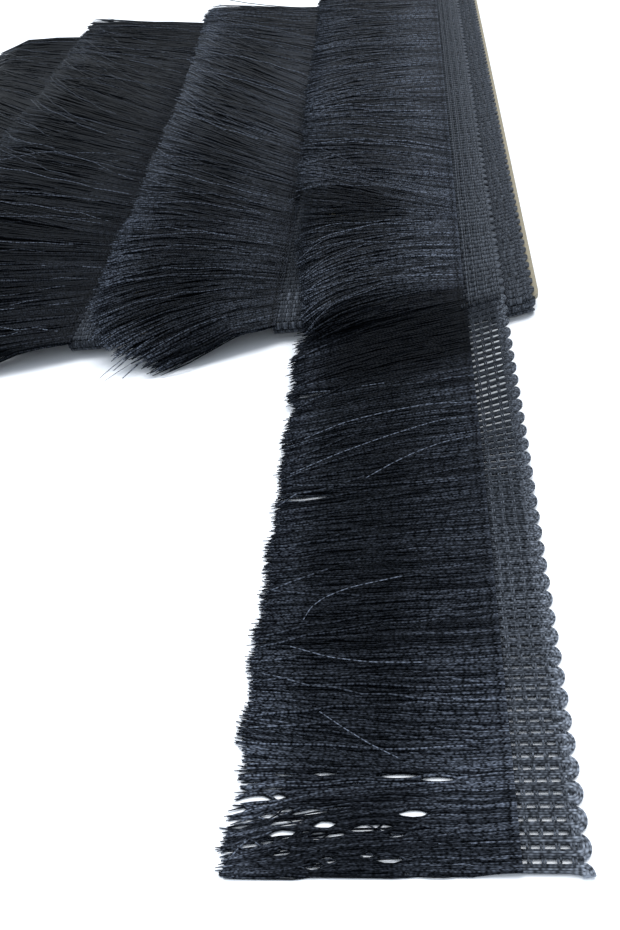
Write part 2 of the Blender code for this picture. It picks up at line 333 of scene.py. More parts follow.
def tubes(name, groups, mat, warp=None):
    """Round or flattened yarns joined in one mesh.

    A group is (paths, radii, sides, flatten, tones): paths is (n, k, 3), radii is (n, k), flatten
    is the share of the radius across and upwards, and warp moves the finished points.
    """
    verts, quads, caps, tone, run = [], [], [], [], []
    offset = 0
    for paths, radii, sides, flatten, tones in groups:
        n, k, _ = paths.shape
        index = (np.arange(n * k * sides) + offset).reshape(n, k, sides)
        offset += n * k * sides
        here, after = index[:, :-1, :], index[:, 1:, :]
        corners = [here, after, np.roll(after, -1, axis=2), np.roll(here, -1, axis=2)]
        verts.append(rings(paths, radii, sides, flatten).reshape(-1, 3))
        quads.append(np.stack(corners, axis=-1).reshape(-1, 4))
        caps.append(np.concatenate([index[:, 0, :], index[:, -1, ::-1]]))
        tone.append(np.repeat(tones * np.ones((n, k)), sides))
        run.append(np.repeat(plies_along(paths), sides))
    points = np.concatenate(verts)
    if warp:
        points = warp(points)
    return add_mesh(name, points, np.concatenate(quads), caps, np.concatenate(tone),
                    np.concatenate(run), mat)


def tones_of(n, low, high):
    """Uneven tones: most threads are dark and a few catch the light."""
    return low + (high - low) * RNG.random((n, 1)) ** DARK_BIAS


def keep(obj, node):
    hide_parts(node)
    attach(obj, "root")
    return obj


# ------------------------------------------------------------------ the header's route

FOLD_STEPS = 8
RUN_STEPS = 16
NEARLY = 0.01

# The trim's hidden start is this far short of the far fold
START_SHORT = 4.0

# Near the card's corner the band of the turn beneath the last one lies askew: how far, from how
# many points before its near fold, to how many before its far one, and over how many it fades
FOLD_SKEW = 3.5
SKEWED_BEFORE = 15
STRAIGHT_BEFORE = 10
SKEW_FADE = 5


def fold(x, z_from, z_to, y, forward):
    """Points between the two ends of a half circle round the card's edge."""
    radius = abs(z_to - z_from) / 2
    middle = (z_from + z_to) / 2
    points = []
    for k in range(1, FOLD_STEPS):
        angle = math.pi * k / FOLD_STEPS
        along = y + forward * radius * math.sin(angle)
        points.append((x, along, middle + (z_from - middle) * math.cos(angle)))
    return points


def run_of(x_from, y_from, x_to, y_to, z):
    """Points along a straight stretch, with both its ends."""
    shares = [k / RUN_STEPS for k in range(RUN_STEPS + 1)]
    return [(x_from + (x_to - x_from) * s, y_from + (y_to - y_from) * s, z) for s in shares]


def wound_route():
    """Middle line of the header round the card, and how much further its outer edge is along Y."""
    points = run_of(TURN_X[3], FOLD_FAR - START_SHORT, TURN_X[3], FOLD_NEAR, Z_TOP)
    for here, after in ((3, 2), (2, 1), (1, 0)):
        points += fold(TURN_X[here], Z_TOP, Z_UNDER, FOLD_NEAR, -1)
        points += run_of(TURN_X[here], FOLD_NEAR, TURN_X[after], FOLD_FAR, Z_UNDER)
        points += fold(TURN_X[after], Z_UNDER, Z_TOP, FOLD_FAR, 1)
        points += run_of(TURN_X[after], FOLD_FAR, TURN_X[after], FOLD_NEAR, Z_TOP)
    skewed = len(points) - SKEWED_BEFORE
    points += fold(TURN_X[0], Z_TOP, Z_TABLE, FOLD_NEAR, -1)
    points += run_of(TURN_X[0], FOLD_NEAR, LAST_X, FOLD_FAR, Z_TABLE)
    straight = len(points) - STRAIGHT_BEFORE
    points += fold(LAST_X, Z_TABLE, Z_LAST, FOLD_FAR, 1)
    points += run_of(LAST_X, FOLD_FAR, LAST_X, RAMP_END, Z_LAST)
    skew = np.zeros(len(points))
    skew[skewed:straight] = FOLD_SKEW
    skew = np.convolve(skew, np.ones(SKEW_FADE) / SKEW_FADE, mode="same")
    return np.array(points), skew


ROUTE, ROUTE_SKEW = wound_route()
ROUTE_STEPS = np.linalg.norm(np.diff(ROUTE, axis=0), axis=1)
ROUTE_RUN = np.concatenate([[0.0], np.cumsum(ROUTE_STEPS)])
ROUTE_END = ROUTE_RUN[-1]
ROUTE_TURN = np.gradient(ROUTE, axis=0)
ROUTE_TURN[:, 0] = 0.0
ROUTE_TURN /= np.linalg.norm(ROUTE_TURN, axis=1, keepdims=True)
LAST_START = ROUTE_END - (FOLD_FAR - RAMP_END)


def loose_band(points):
    """Places on the table for points of the flat header: across, along and above its middle."""
    across, along, above = points.T
    skewed = along + read(SKEW, along) * (across - HALF_WIDTH)
    x = bend(skewed) - HALF_WIDTH + across
    return np.stack([x, skewed, ramp(skewed) + Z_KNIT + above], axis=1)


def wound_band(points):
    """Places round the card for points of the flat header."""
    across, along, above = points.T
    centre = np.stack([np.interp(along, ROUTE_RUN, ROUTE[:, k]) for k in range(3)], axis=1)
    turn = np.stack([np.interp(along, ROUTE_RUN, ROUTE_TURN[:, k]) for k in range(3)], axis=1)
    skew = np.interp(along, ROUTE_RUN, ROUTE_SKEW)
    outward = np.stack([np.zeros(len(turn)), turn[:, 2], -turn[:, 1]], axis=1)
    last = along > LAST_START
    centre[:, 0] += across
    centre[:, 1] += skew * (across + HALF_WIDTH) / (2 * HALF_WIDTH)
    centre[:, 1] += last * read(SKEW, centre[:, 1]) * (across - HALF_WIDTH)
    return centre + outward * above[:, None]


def top_run(turn):
    """Distances along the route from the far fold to the near one, over the card."""
    in_turn = np.abs(ROUTE[:, 0] - TURN_X[turn]) < NEARLY
    on_top = np.abs(ROUTE[:, 2] - Z_TOP) < NEARLY
    found = ROUTE_RUN[in_turn & on_top]
    return found[0], found[-1]


def row_before(along):
    """Place of the last slit before a place along the route."""
    return ROUTE_END - math.ceil((ROUTE_END - along) / ROW) * ROW


# ------------------------------------------------------------------ the header's yarns

# Ribbons of weft: half their width in a scallop, how thin they are beside it, how far they go into
# the fringe, and from how far before a scallop and over what length they widen to it
FULL_HALF = 1.08
THIN = 0.34
INTO_FRINGE = 0.4
WIDEN_BEFORE = 1.6
WIDEN_RUN = 1.3

# Yarns on the ribbons, with their radius and height as shares of the ribbon's, and how far each
# one strays
STRAND_SHARE = 0.24
STRAND_FLAT = (1.0, 0.8)
STRAND_LIFT = 0.9
STRAND_SHIFT = 0.03

# Chain stitches: their height above the ribbons' middle, and how far their legs draw in and stray
STITCH_FLAT = (1.0, 0.9)
STITCH_LIFT = 0.24
STITCH_NARROW = 0.05
STITCH_SHIFT = 0.02

# Tones, and the painted highlight that makes a stitch lighter where it comes up
STITCH_TONE = (0.05, 0.15)
STITCH_SHINE = 0.12
RIBBON_TONE = (0.08, 0.16)
STRAND_TONE = (0.16, 0.50)


def weft_loops(tips, half, legs, curve, bend_at, offset=0.0, lift=0.0):
    """Hairpins of weft: out along one row, round the scallop and back along the next.

    offset and lift shift them across and upwards, as shares of half the ribbon's width. This
    gives paths, radii and the share by which each point belongs to the scallop.
    """
    angles = np.linspace(-math.pi / 2, math.pi / 2, curve)[1:-1]
    leg = np.linspace(-HALF_WIDTH - INTO_FRINGE, bend_at, legs)
    side = np.concatenate([np.full(legs, -1.0), np.sin(angles), np.full(legs, 1.0)])
    out = np.concatenate([np.zeros(legs), np.cos(angles), np.zeros(legs)])
    across = np.concatenate([leg, bend_at + 0.0 * angles, leg[::-1]])
    tip_share = smooth((across - bend_at + WIDEN_BEFORE) / WIDEN_RUN)
    width = half[:, None] + (FULL_HALF - half[:, None]) * tip_share
    shift = width * offset
    paths = np.zeros((len(tips), len(across), 3))
    paths[:, :, 0] = across + out * (HALF_WIDTH - FULL_HALF - bend_at + shift)
    paths[:, :, 1] = tips[:, None] + side * (ROW / 2 + shift)
    paths[:, :, 2] = lift * width
    return paths, width, tip_share[None, :]


def header_groups(tips, half, light, shine, legs, curve, bend_at, sides, strands=()):
    """The flat ribbons of weft, and the single yarns on top of them.

    light scales the tones of the rows with painted light and shade, and shine is a painted
    highlight that lightens the scallops.
    """
    half = half + 0.0 * tips
    light = (light + 0.0 * tips)[:, None]
    shine = (shine + 0.0 * tips)[:, None]
    ribbons, width, tip_share = weft_loops(tips, half, legs, curve, bend_at)
    tones = RNG.uniform(*RIBBON_TONE, (len(tips), 1)) * light + shine * tip_share
    ground = [(ribbons, width, sides, (1.0, THIN), tones)]
    yarns = []
    for place in strands:
        lift = STRAND_LIFT * THIN * math.sqrt(1.0 - place * place)
        paths, width, tip_share = weft_loops(tips, half, legs, curve, bend_at, place, lift)
        paths += RNG.normal(0.0, STRAND_SHIFT, (len(tips), 1, 3))
        tones = tones_of(len(tips), *STRAND_TONE) * light + shine * tip_share
        yarns.append((paths, width * STRAND_SHARE, 4, STRAND_FLAT, tones))
    return ground, yarns


def wale_groups(start, end, places, steps, sides, spread, radius, depth=0.20, swing=0.0,
                light=((0.0, 1.0),)):
    """Chain stitches along the header, over the rows of weft and down between them.

    spread is half the distance between the two legs of a chain, depth is how far they dip between
    the rows, and swing slants its stitches. light has rows of place and scale of the tones, which
    paint light and shade along the header.
    """
    rows = int(round((end - start) / ROW))
    along = np.linspace(start, start + rows * ROW, rows * steps + 1)
    turn = 2.0 * math.pi * (along - start) / ROW
    wave = np.cos(turn)
    groups = []
    for place in places:
        for side in (-1.0, 1.0):
            path = np.zeros((1, len(along), 3))
            path[0, :, 0] = place + side * (spread - STITCH_NARROW * wave) + swing * np.sin(turn)
            path[0, :, 0] += RNG.normal(0.0, STITCH_SHIFT, len(along))
            path[0, :, 1] = along
            path[0, :, 2] = STITCH_LIFT - depth * wave
            # Painted highlight where the stitch comes up
            tones = RNG.uniform(*STITCH_TONE) + STITCH_SHINE * (1.0 - wave[None, :])
            radii = np.full(path.shape[:2], radius)
            groups.append((path, radii, sides, STITCH_FLAT, read(light, along) * tones))
    return groups


def second_half(groups):
    """What is left of loops that are cut through the middle of their scallops."""
    left = []
    for paths, radii, sides, flatten, tones in groups:
        cut = paths.shape[1] // 2
        left.append((paths[:, cut:], radii[:, cut:], sides, flatten, tones[:, cut:]))
    return left


# The loose end's header, whose cut end keeps the second half of one more loop
LOOSE_LOOPS = {
    "legs": 6,
    "curve": 9,
    "bend_at": 4.05,
    "sides": 8,
    "strands": (-0.72, -0.26, 0.26, 0.72),
}
# Painted light and shade along the loose end: its rows and stitches are lighter near the cut end
# and in painted shade towards the last turn, and its scallops carry a painted highlight
LOOSE_LIGHT = (
    (0.0, 1.3), (30.0, 1.2), (60.0, 1.0), (100.0, 0.5), (120.0, 0.2), (156.0, 0.2),
)
LOOSE_SHINE = ((0.0, 0.78), (30.0, 0.68), (60.0, 0.45), (100.0, 0.35), (156.0, 0.35))
WALE_LIGHT = (
    (0.0, 1.1), (60.0, 1.0), (100.0, 0.85), (120.0, 0.5), (148.0, 0.5), (153.0, 0.1),
)
loose_tips = np.arange(1, SCALLOPS + 1) * PITCH
loose_ground, loose_yarns = header_groups(
    loose_tips, ROW / 2 - read(SLITS, loose_tips) / 2,
    read(LOOSE_LIGHT, loose_tips), read(LOOSE_SHINE, loose_tips), **LOOSE_LOOPS)
# The cut loop is painted lighter still, with a brighter painted highlight on its scallop
cut_ground, cut_yarns = header_groups(
    np.array([0.0]), half=0.8, light=1.35, shine=0.95, **LOOSE_LOOPS)
loose_ground += second_half(cut_ground)
loose_yarns += second_half(cut_yarns)
loose_cloth = keep(tubes("knit_loose_end", loose_ground, KNIT, loose_band),
                   "header_loose_end")
loose_wales = wale_groups(ROW / 2, RAMP_END, WALES, steps=5, sides=4, spread=0.19, radius=0.235,
                          light=WALE_LIGHT)
loose_stitches = keep(tubes("stitches_loose_end", loose_yarns + loose_wales, KNIT, loose_band),
                      "header_loose_end")

# The header round the card, with painted light and shade. The turn beneath the last one is painted
# lighter than those to its left, which are in painted shade but for painted light at their near
# folds: how light, how far before the fold, and over how much
WOUND_BEND = 4.7
LAST_LIGHT = 0.9
LAST_SHINE = 0.12
OUTER_SHINE = 0.10
OUTER_LIGHT = 0.2
FOLD_LIGHT = 2.6
FOLD_WALE_LIGHT = 0.5
FOLD_BEFORE = 8.0
FOLD_REACH = 11.0
OUTER_TURNS = (1, 2, 3)

# Where the turn beneath the last one starts, with some length to spare
BEFORE_INNER = 30.0
INNER_START = LAST_START - 2.0 * (FOLD_FAR - FOLD_NEAR) - BEFORE_INNER

# Chain stitches round the card: how far they go on past a near fold, how far before it they start
# to its left, and their painted light and shade by the distance from it
INNER_PAST = 6.0
OUTER_PAST = 4.0
OUTER_BEFORE = 60.0
LAST_WALE_LIGHT = ((-5.0, 1.0), (-2.0, 0.1))
OUTER_WALE_LIGHT = ((-40.0, OUTER_LIGHT), (-10.0, FOLD_WALE_LIGHT))

loops_round_card = int(ROUTE_END / PITCH)
wound_tips = ROUTE_END - np.arange(1, loops_round_card)[::-1] * PITCH
wound_light = np.where(wound_tips > INNER_START, LAST_LIGHT, OUTER_LIGHT)
for turn in OUTER_TURNS:
    near_fold = np.exp(-((wound_tips - top_run(turn)[1] + FOLD_BEFORE) / FOLD_REACH) ** 2)
    wound_light += (FOLD_LIGHT - OUTER_LIGHT) * near_fold
on_last = wound_tips > LAST_START
last_ground, _ = header_groups(wound_tips[on_last], FULL_HALF, LAST_LIGHT, LAST_SHINE,
                               legs=3, curve=5, bend_at=WOUND_BEND, sides=6)
turn_ground, _ = header_groups(wound_tips[~on_last], FULL_HALF, wound_light[~on_last], OUTER_SHINE,
                               legs=2, curve=5, bend_at=WOUND_BEND, sides=6)
keep(tubes("knit_wound", last_ground + turn_ground, KNIT, wound_band),
     "header_wound")

wound_wales = wale_groups(row_before(LAST_START) + ROW, ROUTE_END, WALES, steps=4, sides=3,
                          spread=0.34, radius=0.31, depth=0.07,
                          light=shifted(LAST_WALE_LIGHT, ROUTE_END))
inner_start, inner_end = top_run(0)
wound_wales += wale_groups(row_before(inner_start), inner_end + INNER_PAST, WALES[2:], steps=4,
                           sides=3, spread=0.28, radius=0.26, swing=0.35)
for turn in OUTER_TURNS:
    turn_end = top_run(turn)[1]
    wound_wales += wale_groups(row_before(turn_end - OUTER_BEFORE), turn_end + OUTER_PAST, WALES,
                               steps=3, sides=3, spread=0.30, radius=0.33,
                               light=shifted(OUTER_WALE_LIGHT, turn_end))
keep(tubes("stitches_wound", wound_wales, KNIT, wound_band), "header_wound")


# ------------------------------------------------------------------ fringe threads

# A thread comes to its own place, its waves and its layer over this part of its length: a sixth,
# a fifth and a seventh
PLACE_RATE = 6.0
WAVE_RATE = 5.0
LAYER_RATE = 7.0

# How much of its distance from the leg of weft that holds it a root keeps
TO_LEG = 0.9

# Angles, in degrees: tips wander and drift more than roots do, and those of strays turn further
ROOT_DRIFT = 0.6
TIP_WANDER = 1.6
TIP_DRIFT = 1.4
STRAY_TURN = 14.0
TURN_LIMITS = (-70.0, 60.0)
TURN_CURVE = 1.3

# Lengths: how unevenly they run along the trim, and the share of threads that are cut short
LENGTH_DRIFT = 0.7
SHORT_THREADS = 0.3

# Locks, bows and waves, sideways
LOCK_JITTER = 0.25
LOCK_PUSH = -0.1
BOW = 0.8
BOW_DRIFT = 0.7
WAVES = (0.2, 0.55)

# Levels in the layer, from -1 at its bottom to 1 at its top, and heights above the table
GOLDEN = 0.618
RANK_JITTER = 0.2
RIPPLE = 0.18
RIPPLE_RATE = 0.8
STRAY_LIFT = 0.8
LEVELS = (-1.0, 1.35)
ROOT_LAYER = 0.35
LOWEST_Z = 0.16

# The cut end holds threads back at uneven places within a narrow band
NO_END = -1000.0
END_BAND = 0.8

THREAD_WIDTHS = (0.8, 1.15)
TIP_WIDTH = 0.55
THREAD_TONE = (0.015, 0.18)
# Threads that stand proud get a painted highlight
STRAY_HIGHLIGHT = 0.12


def sums_along(rates):
    """Running sums of each row, from 0 at its start."""
    steps = np.cumsum(rates[:, 1:] + rates[:, :-1], axis=1)
    return np.concatenate([np.zeros((len(rates), 1)), steps], axis=1)


def threads(y_ends, per_mm, knots, root_x, root_z, sweep, reach, height, width, wander, ragged,
            clump=3.6, gather=0.3, top_heavy=1.0, astray=0.03, uneven=1.0, wave=0.2, glow=None,
            warp=None, lowest=NO_END):
    """Cut yarns side by side: paths, radii and tones.

    reach(y) is their length along X, and height(y, share) gives the middle and half the thickness
    of the layer they lie in. sweep has rows of place, angle at the root and angle at the tip.
    wander is how far single threads turn from it, and uneven how much neighbours drift together.
    clump is the width of a lock and gather how much it draws together. ragged is how much lengths
    differ, and wave how far a thread snakes. top_heavy puts more threads on top, and astray is
    the share that stands proud. lowest is how far they may go along -Y.
    """
    start, end = y_ends
    n = int((end - start) * per_mm)
    share = np.linspace(0.0, 1.0, knots)[None, :]
    locks = int((end - start) / clump) + 2
    lock_at = start + np.arange(locks) * clump

    # Roots, drawn towards the leg of weft that holds them
    y0 = start + (np.arange(n) + RNG.random(n)) / per_mm
    leg = np.round((y0 - ROW / 2) / ROW) * ROW + ROW / 2
    rooted = leg + (y0 - leg) * TO_LEG

    def drift(amount):
        return np.interp(y0, lock_at, RNG.normal(0.0, amount, locks))

    # Angles at the root and at the tip
    stray = RNG.random(n) < astray
    places, at_root, at_tip = zip(*sweep)
    first = np.interp(y0, places, at_root) + RNG.normal(0.0, wander, n)
    first += drift(wander * ROOT_DRIFT * uneven)
    last = np.interp(y0, places, at_tip) + RNG.normal(0.0, wander * TIP_WANDER, n)
    last += drift(wander * TIP_DRIFT * uneven)
    last += RNG.normal(0.0, STRAY_TURN, n) * stray
    last = np.clip(last, *TURN_LIMITS)
    angle = np.radians(first[:, None] + (last - first)[:, None] * share ** TURN_CURVE)

    # Places along X and Y, scaled to each thread's length
    over = sums_along(np.cos(angle))
    length = reach(y0) + RNG.normal(0.0, ragged * LENGTH_DRIFT, n) + drift(ragged * LENGTH_DRIFT)
    length -= np.abs(RNG.normal(0.0, ragged, n)) * (RNG.random(n) < SHORT_THREADS)
    scale = (length / over[:, -1])[:, None]
    run = over * scale
    x = root_x(y0)[:, None] - run
    y = rooted[:, None] + (y0 - rooted)[:, None] * np.clip(share * PLACE_RATE, 0.0, 1.0)
    y += sums_along(np.sin(angle)) * scale

    # Locks that draw together, bows and waves
    lock = ((y0 - start) / clump + RNG.normal(0.0, LOCK_JITTER, n)).astype(int)
    lock = np.clip(lock, 0, locks - 1)
    pull = RNG.uniform(LOCK_PUSH, gather, locks)[lock]
    y += ((lock_at[lock] + clump / 2 - y0) * pull)[:, None] * share ** 2
    bow = RNG.normal(0.0, BOW, n) + drift(BOW_DRIFT * uneven)
    y += bow[:, None] * (share ** 2 - share) * 2.0
    phase = RNG.uniform(*ANY_PHASE, (n, 1))
    waves = RNG.uniform(*WAVES, (n, 1))
    y += wave * np.sin(run * waves + phase) * np.clip(share * WAVE_RATE, 0.0, 1.0)

    # Heights: neighbours take levels far apart, so that threads cross over each other
    rank = np.mod(np.arange(n) * GOLDEN + RNG.uniform(0.0, RANK_JITTER, n), 1.0)[:, None]
    ripple = RIPPLE * np.sin(run * waves * RIPPLE_RATE + phase * 2.0)
    level = 1.0 - 2.0 * rank ** top_heavy + ripple
    level = np.clip(level + stray[:, None] * share * STRAY_LIFT, *LEVELS)
    mid, half = height(y0[:, None], share)
    start_z = root_z(y0)[:, None] + level * ROOT_LAYER
    from_root = smooth(share * LAYER_RATE)
    z = start_z * (1.0 - from_root) + (mid + level * half) * from_root
    paths = np.stack([x, y, np.maximum(z, LOWEST_Z)], axis=2)
    if warp:
        paths = warp(paths)
    paths[:, :, 1] = np.maximum(paths[:, :, 1], lowest + RNG.uniform(0.0, END_BAND, (n, 1)))

    radii = np.ones_like(share) * width * RNG.uniform(*THREAD_WIDTHS, (n, 1))
    radii[:, -1] *= TIP_WIDTH
    # Threads that stand proud get a painted highlight, and glow paints light and shade by place
    # and share
    tones = tones_of(n, *THREAD_TONE) * np.ones_like(share) + STRAY_HIGHLIGHT * stray[:, None]
    if glow:
        tones = np.clip(tones * glow(y0[:, None], share), 0.0, 1.0)
    return paths, radii, 3, (1.0, 1.0), tones


# ------------------------------------------------------------------ the loose end's fringe

LOOSE_REACH = 48.0
LOOSE_ROOT_INSET = 0.9
LOOSE_ROOT_LIFT = 1.0

# By share of a thread's length: how much of the ramp's height is left, the layer's thickness,
# and the painted light on the threads, lighter at roots and tips
LOOSE_RISE = ((0.0, 1.0), (0.35, 0.85), (0.7, 0.65), (1.0, 0.45))
LOOSE_THICK = ((0.0, 1.1), (0.35, 1.5), (0.7, 1.4), (1.0, 0.9))
LOOSE_GLOW = ((0.0, 3.0), (0.22, 2.2), (0.45, 0.7), (0.8, 1.0), (1.0, 3.8))

# The layer is thinner near the cut end: by how much, up to where, and over what run it thickens
CUT_THICK = 0.35
THICK_START = 18.0
THICK_RUN = 14.0
LAYER_GAP = 0.1

# Threads are painted lighter up to NEAR_END, and beyond SHADE_START they carry a painted shade of
# the last turn, which leaves their tips, from TIP_START on, lighter
NEAR_LIGHT = 0.9
NEAR_END = 30.0
NEAR_RUN = 20.0
SHADE = 0.96
SHADE_START = 122.0
SHADE_RUN = 16.0
TIP_LIGHT = 0.75
TIP_START = 0.65
TIP_RUN = 0.25

# Openings in the fringe: centre, half length and half width
OPENINGS = (
    (-59.0, 14.2, 1.6, 0.35), (-55.0, 12.6, 3.0, 0.70), (-51.5, 13.3, 1.0, 0.30),
    (-59.0, 10.9, 1.6, 0.50), (-52.5, 9.9, 1.4, 0.50), (-50.0, 10.5, 1.2, 0.45),
    (-46.0, 10.3, 2.2, 0.60), (-28.0, 10.2, 2.0, 0.45), (-57.5, 8.4, 2.4, 0.65),
    (-50.0, 8.5, 1.8, 0.55), (-47.5, 9.0, 0.8, 0.45), (-43.0, 8.2, 1.5, 0.50),
    (-36.0, 7.5, 1.8, 0.60), (-33.0, 7.8, 1.2, 0.35), (-26.5, 7.4, 1.0, 0.35),
    (-50.0, 6.5, 1.8, 0.60), (-46.5, 6.6, 1.0, 0.40), (-44.0, 6.3, 1.5, 0.50),
    (-41.0, 6.5, 1.1, 0.40), (-31.0, 6.6, 1.2, 0.35), (-53.0, 5.4, 1.2, 0.40),
    (-55.5, 4.6, 1.1, 0.55), (-58.5, 3.3, 0.9, 0.50), (-50.0, 3.4, 1.3, 0.55),
    (-35.5, 3.1, 0.8, 0.40), (-32.0, 2.4, 1.7, 0.40), (-42.0, 2.2, 0.9, 0.50),
    (-44.5, 1.3, 1.3, 0.55), (-30.5, 17.0, 3.0, 0.15), (-24.0, 16.4, 2.5, 0.22),
    (-44.0, 17.5, 1.3, 0.02), (-52.0, 87.5, 5.0, 1.30), (-53.5, 125.0, 4.5, 1.60),
)

# Threads are parted this much wider than an opening shows, over this distance beside it, and
# this share of them stays where it is, across the openings
SEEN_THROUGH = 0.41
PARTED_BESIDE = 1.3
LEFT_ACROSS = 0.08

# They are parted over this much more than an opening's length, and its ends are this blunt
OPENING_LONGER = 1.5
OPENING_BLUNT = 0.8

# Single hairs that lie across the rest, as places along each. They are painted at full tone as
# painted glints
STRAYS = (
    ((-54.0, 106.0, 4.0), (-44.0, 109.0, 6.0), (-32.0, 110.5, 7.5), (-22.0, 111.5, 8.0),
     (-12.5, 111.5, 7.5)),
    ((-56.5, 93.7, 3.5), (-45.0, 98.5, 5.0), (-33.4, 102.6, 6.0), (-20.3, 106.8, 6.6),
     (-13.0, 108.0, 6.0)),
    ((-38.2, 89.8, 4.4), (-32.0, 93.8, 5.0), (-27.0, 96.5, 5.4), (-20.0, 99.6, 5.6),
     (-13.7, 101.6, 5.0)),
    ((-50.0, 50.5, 2.2), (-48.6, 53.6, 2.4), (-46.0, 56.0, 2.5), (-40.8, 58.5, 2.5),
     (-29.8, 61.2, 2.3)),
    ((-45.1, 29.0, 2.2), (-40.0, 25.2, 2.2), (-35.4, 22.2, 2.0), (-30.6, 19.7, 1.8)),
    ((-52.0, 44.0, 2.2), (-44.0, 41.0, 2.4), (-36.0, 39.6, 2.4), (-26.0, 39.4, 2.2)),
    ((-57.0, 126.0, 3.2), (-52.0, 125.6, 3.6), (-48.0, 125.2, 3.8)),
    ((-46.0, 125.4, 4.0), (-40.0, 125.6, 4.4), (-34.5, 125.6, 4.8)),
)
STRAY_KNOTS = 33
STRAY_RADIUS = 0.11
STRAY_SMOOTHING = 6


def loose_root_x(y):
    return bend(y) - 2 * HALF_WIDTH + LOOSE_ROOT_INSET


def loose_root_z(y):
    return ramp(y) + LOOSE_ROOT_LIFT


def loose_reach(y):
    return LOOSE_REACH + 0.0 * y


def loose_height(y, share):
    """The layer's middle and half its thickness."""
    whole = smooth((y - THICK_START) / THICK_RUN)
    thick = read(LOOSE_THICK, share) * (CUT_THICK + (1.0 - CUT_THICK) * whole)
    return ramp(y) * read(LOOSE_RISE, share) + thick / 2 + LAYER_GAP, thick / 2


# Painted light and shade on the loose end's threads
def loose_glow(y, share):
    near = 1.0 - smooth((y - NEAR_END) / NEAR_RUN)
    dark = SHADE * smooth((y - SHADE_START) / SHADE_RUN)
    shade = 1.0 - dark * (1.0 - TIP_LIGHT * smooth((share - TIP_START) / TIP_RUN))
    return read(LOOSE_GLOW, share) * (1.0 + NEAR_LIGHT * near) * shade


def part_threads(paths):
    """Moves threads apart round the openings, each to the side where it passes the middle."""
    moves = (RNG.random((len(paths), 1)) > LEFT_ACROSS) * 1.0
    for x, y, long, wide in OPENINGS:
        from_middle = (paths[:, :, 0] - x) / (long * OPENING_LONGER)
        share = np.clip(1.0 - from_middle ** 2, 0.0, None) ** OPENING_BLUNT
        off = paths[:, :, 1] - y
        nearest = np.abs(paths[:, :, 0] - x).argmin(axis=1)
        side = np.sign(off[np.arange(len(off)), nearest])[:, None]
        near = np.exp(-(off / PARTED_BESIDE) ** 2) * moves
        own_side = np.maximum(off * side, 0.0)
        moved = side * np.sqrt(own_side ** 2 + (share * (wide + SEEN_THROUGH)) ** 2)
        paths[:, :, 1] += np.where(share > 0.0, moved - off, 0.0) * near
    return paths


def stray_hairs():
    groups = []
    for places in STRAYS:
        given = np.array(places)
        at = np.linspace(0.0, len(given) - 1.0, STRAY_KNOTS)
        axes = [np.interp(at, np.arange(len(given)), given[:, k]) for k in range(3)]
        path = np.stack(axes, axis=1)
        for _ in range(STRAY_SMOOTHING):
            path[1:-1] = (path[:-2] + 2.0 * path[1:-1] + path[2:]) / 4.0
        radii = np.full((1, STRAY_KNOTS), STRAY_RADIUS)
        # Full tone: painted glints
        groups.append((path[None], radii, 4, (1.0, 1.0), np.array([[1.0]])))
    return groups


loose = {
    "root_x": loose_root_x,
    "root_z": loose_root_z,
    "sweep": LOOSE_SWEEP,
    "reach": loose_reach,
    "height": loose_height,
    "ragged": 0.9,
    "glow": loose_glow,
    "warp": part_threads,
    "lowest": -0.8,
}
near_group = threads(y_ends=(0.3, 20.0), per_mm=23.0, knots=32, width=0.17, wander=1.4,
                     gather=0.15, top_heavy=1.2, uneven=0.4, wave=0.25, **loose)
far_group = threads(y_ends=(20.0, 156.3), per_mm=20.0, knots=10, width=0.20, wander=1.3,
                    gather=0.05, top_heavy=1.3, uneven=0.25, wave=0.3, **loose)
near_fringe = keep(tubes("yarn_loose_near", [near_group], YARN),
                   "fringe_loose_end")
far_fringe = keep(tubes("yarn_loose_far", [far_group, *stray_hairs()], YARN),
                  "fringe_loose_end")


# ------------------------------------------------------------------ the fringe on the card

# How far inside the header's edge the threads start
ROOT_INSET = 0.6

# By share of a thread's length: the layer's thickness, and the painted light and shade on the
# threads, lighter at roots and tips
TOP_SHARES = (0.0, 0.35, 0.7, 1.0)
TOP_THICK = (1.1, 2.0, 3.0, 2.4)
LAST_GLOW = ((0.0, 3.8), (0.2, 3.4), (0.45, 1.3), (0.8, 1.1), (1.0, 3.9))
TURN_GLOW = ((0.0, 1.5), (0.25, 1.5), (0.5, 0.5), (0.8, 0.9), (0.92, 2.8), (1.0, 7.0))
OUTER_GLOW = ((0.0, 0.7), (0.25, 0.5), (0.5, 0.2), (0.8, 0.25), (1.0, 2.0))

# The layer is thinner where it hangs
HANG_THINNER = 0.35

# The last turn's threads carry painted shade as of a hollow behind the tuft, in patches, and
# painted shade at the card's near edge, where the tuft covers them
HOLLOW_AT = 210.0
HOLLOW_REACH = 15.0
HOLLOW_START = 0.25
HOLLOW_RUN = 0.3
HOLLOW_SHADE = 0.78
SHADE_PATCHES = 0.2
SHADE_PATCH_RATE = 9.0
COVERED_END = 162.0
COVERED_RUN = 5.0
COVERED_SHADE = 0.9

TOP_THREADS = {
    "clump": 5.0,
    "wander": 2.4,
    "ragged": 1.2,
    "gather": 0.05,
    "top_heavy": 1.6,
    "astray": 0.06,
    "wave": 0.45,
}

# Light hairs that lie loosely on top of the fringe, painted light for their highlights
HAIR_START = 4.0
HAIR_END = 470.0
HAIR_LIGHT = 3.5
HAIRS = {
    "knots": 12,
    "width": 0.13,
    "clump": 8.0,
    "wander": 7.0,
    "ragged": 1.5,
    "gather": 0.0,
    "top_heavy": 8.0,
    "astray": 0.5,
    "wave": 0.8,
}


